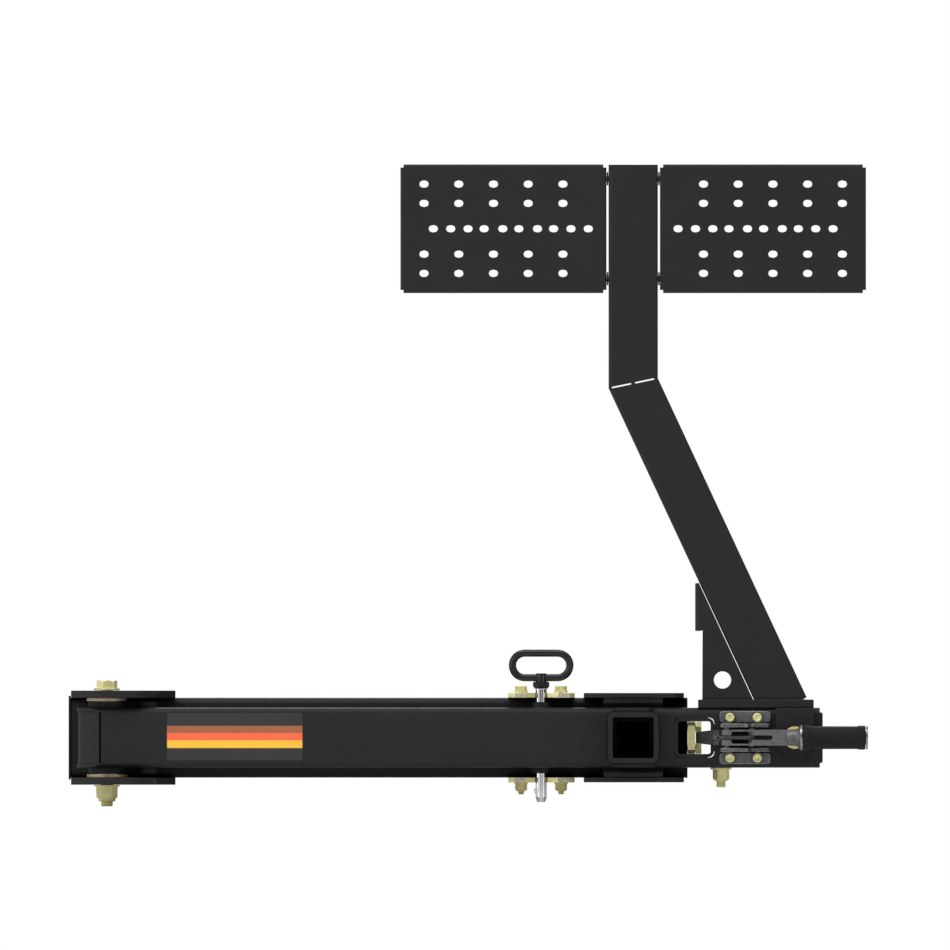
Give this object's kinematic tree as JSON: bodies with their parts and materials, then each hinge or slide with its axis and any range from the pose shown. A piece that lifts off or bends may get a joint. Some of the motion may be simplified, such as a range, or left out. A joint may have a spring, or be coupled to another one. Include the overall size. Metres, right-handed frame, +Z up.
{
  "type": "swing-away hitch carrier",
  "caption": "Swing-away hitch carrier: cross beam with a receiver stinger, hinged arm with its own receiver, lock pin, toggle latch, and a mast with slotted gear plates.",
  "frame": {"origin": "on the stinger's axis at its hitch pin hole", "axes": "+X along the cross beam from the pivot to the latch, +Y into the vehicle's receiver, +Z up"},
  "size_m": [1.0233, 0.3932, 0.8218],
  "materials": {
    "powder_coat": "fine textured black powder coat",
    "yellow_zinc": "yellow zinc plating",
    "bronze": "sintered bronze",
    "plastic": "black moulded plastic",
    "chrome": "polished",
    "blasted_steel": "dark blasted steel",
    "steel": "plain turned steel",
    "rubber": "matt black grip"
  },
  "bodies": {
    "base": {"base_beam": "powder_coat", "beam_end_plate_left": "powder_coat", "beam_end_plate_right": "powder_coat", "hitch_stinger": "powder_coat", "clevis_plate_top": "powder_coat", "clevis_plate_bottom": "powder_coat", "pivot_bolt": "yellow_zinc", "pivot_nut": "yellow_zinc", "pivot_spacer": "steel", "thrust_washer_top": "bronze", "thrust_washer_bottom": "bronze", "cradle_plate_top": "powder_coat", "cradle_plate_bottom": "powder_coat", "wear_pad_top": "plastic", "wear_pad_bottom": "plastic", "pin_bracket_top": "yellow_zinc", "pin_bracket_bottom": "yellow_zinc", "bracket_bolt_left": "yellow_zinc", "bracket_bolt_right": "yellow_zinc", "latch_keeper": "yellow_zinc", "keeper_bolt_upper": "yellow_zinc", "keeper_bolt_lower": "yellow_zinc"},
    "arm": {"swing_arm": "powder_coat", "arm_end_wrap": "powder_coat", "pivot_sleeve": "powder_coat", "pivot_bushing": "bronze", "hold_open_sleeve": "powder_coat", "lock_pin_sleeve": "powder_coat", "receiver_tube": "powder_coat", "receiver_plate_top": "powder_coat", "receiver_plate_bottom": "powder_coat", "latch_window_liner": "powder_coat", "arm_end_cap": "plastic", "mast": "powder_coat", "mast_gusset": "powder_coat", "mast_base_plate": "powder_coat", "mast_tab_front": "powder_coat", "mast_tab_back": "powder_coat", "mast_bolt_upright": "yellow_zinc", "mast_bolt_cross": "yellow_zinc", "gear_plate_left": "powder_coat", "gear_plate_right": "powder_coat", "gear_bolt_left_low": "yellow_zinc", "gear_bolt_left_high": "yellow_zinc", "gear_bolt_right_low": "yellow_zinc", "gear_bolt_right_high": "yellow_zinc", "latch_base_upper": "blasted_steel", "latch_base_lower": "blasted_steel", "latch_bolt_upper_left": "yellow_zinc", "latch_bolt_upper_right": "yellow_zinc", "latch_bolt_lower_left": "yellow_zinc", "latch_bolt_lower_right": "yellow_zinc"},
    "lock_pin": {"lock_pin_shaft": "chrome", "lock_pin_handle": "plastic"},
    "detent_ball": {"detent_ball": "chrome"},
    "latch_handle": {"latch_lever": "blasted_steel", "latch_handle_rod": "blasted_steel", "latch_grip": "rubber", "latch_link_pin": "blasted_steel"},
    "latch_hook": {"latch_hook": "blasted_steel"}
  },
  "joints": [
    {"name": "arm_swing", "type": "hinge", "parent": "base", "child": "arm", "pos_m": [-0.6736, -0.2271, 0], "axis": [0, 0, -1], "range_deg": [0, 120]},
    {"name": "lock_pin_lift", "type": "slide", "parent": "arm", "child": "lock_pin", "axis": [0, 0, 1], "range_m": [0, 0.145]},
    {"name": "detent_ball_press", "type": "slide", "parent": "lock_pin", "child": "detent_ball", "axis": [1, 0, 0], "range_m": [0, 0.0019], "stiffness_N_per_m": 200},
    {"name": "latch_handle_turn", "type": "hinge", "parent": "arm", "child": "latch_handle", "pos_m": [0.12, -0.29, 0], "axis": [0, 0, -1], "range_deg": [0, 115]},
    {"name": "latch_hook_turn", "type": "hinge", "parent": "latch_handle", "child": "latch_hook", "pos_m": [0.15091, -0.28172, 0], "axis": [0, 0, -1], "range_deg": [-115, 0]}
  ],
  "couplings": [
    {"joint": "latch_hook_turn", "follows": "latch_handle_turn", "ratio": -1}
  ]
}
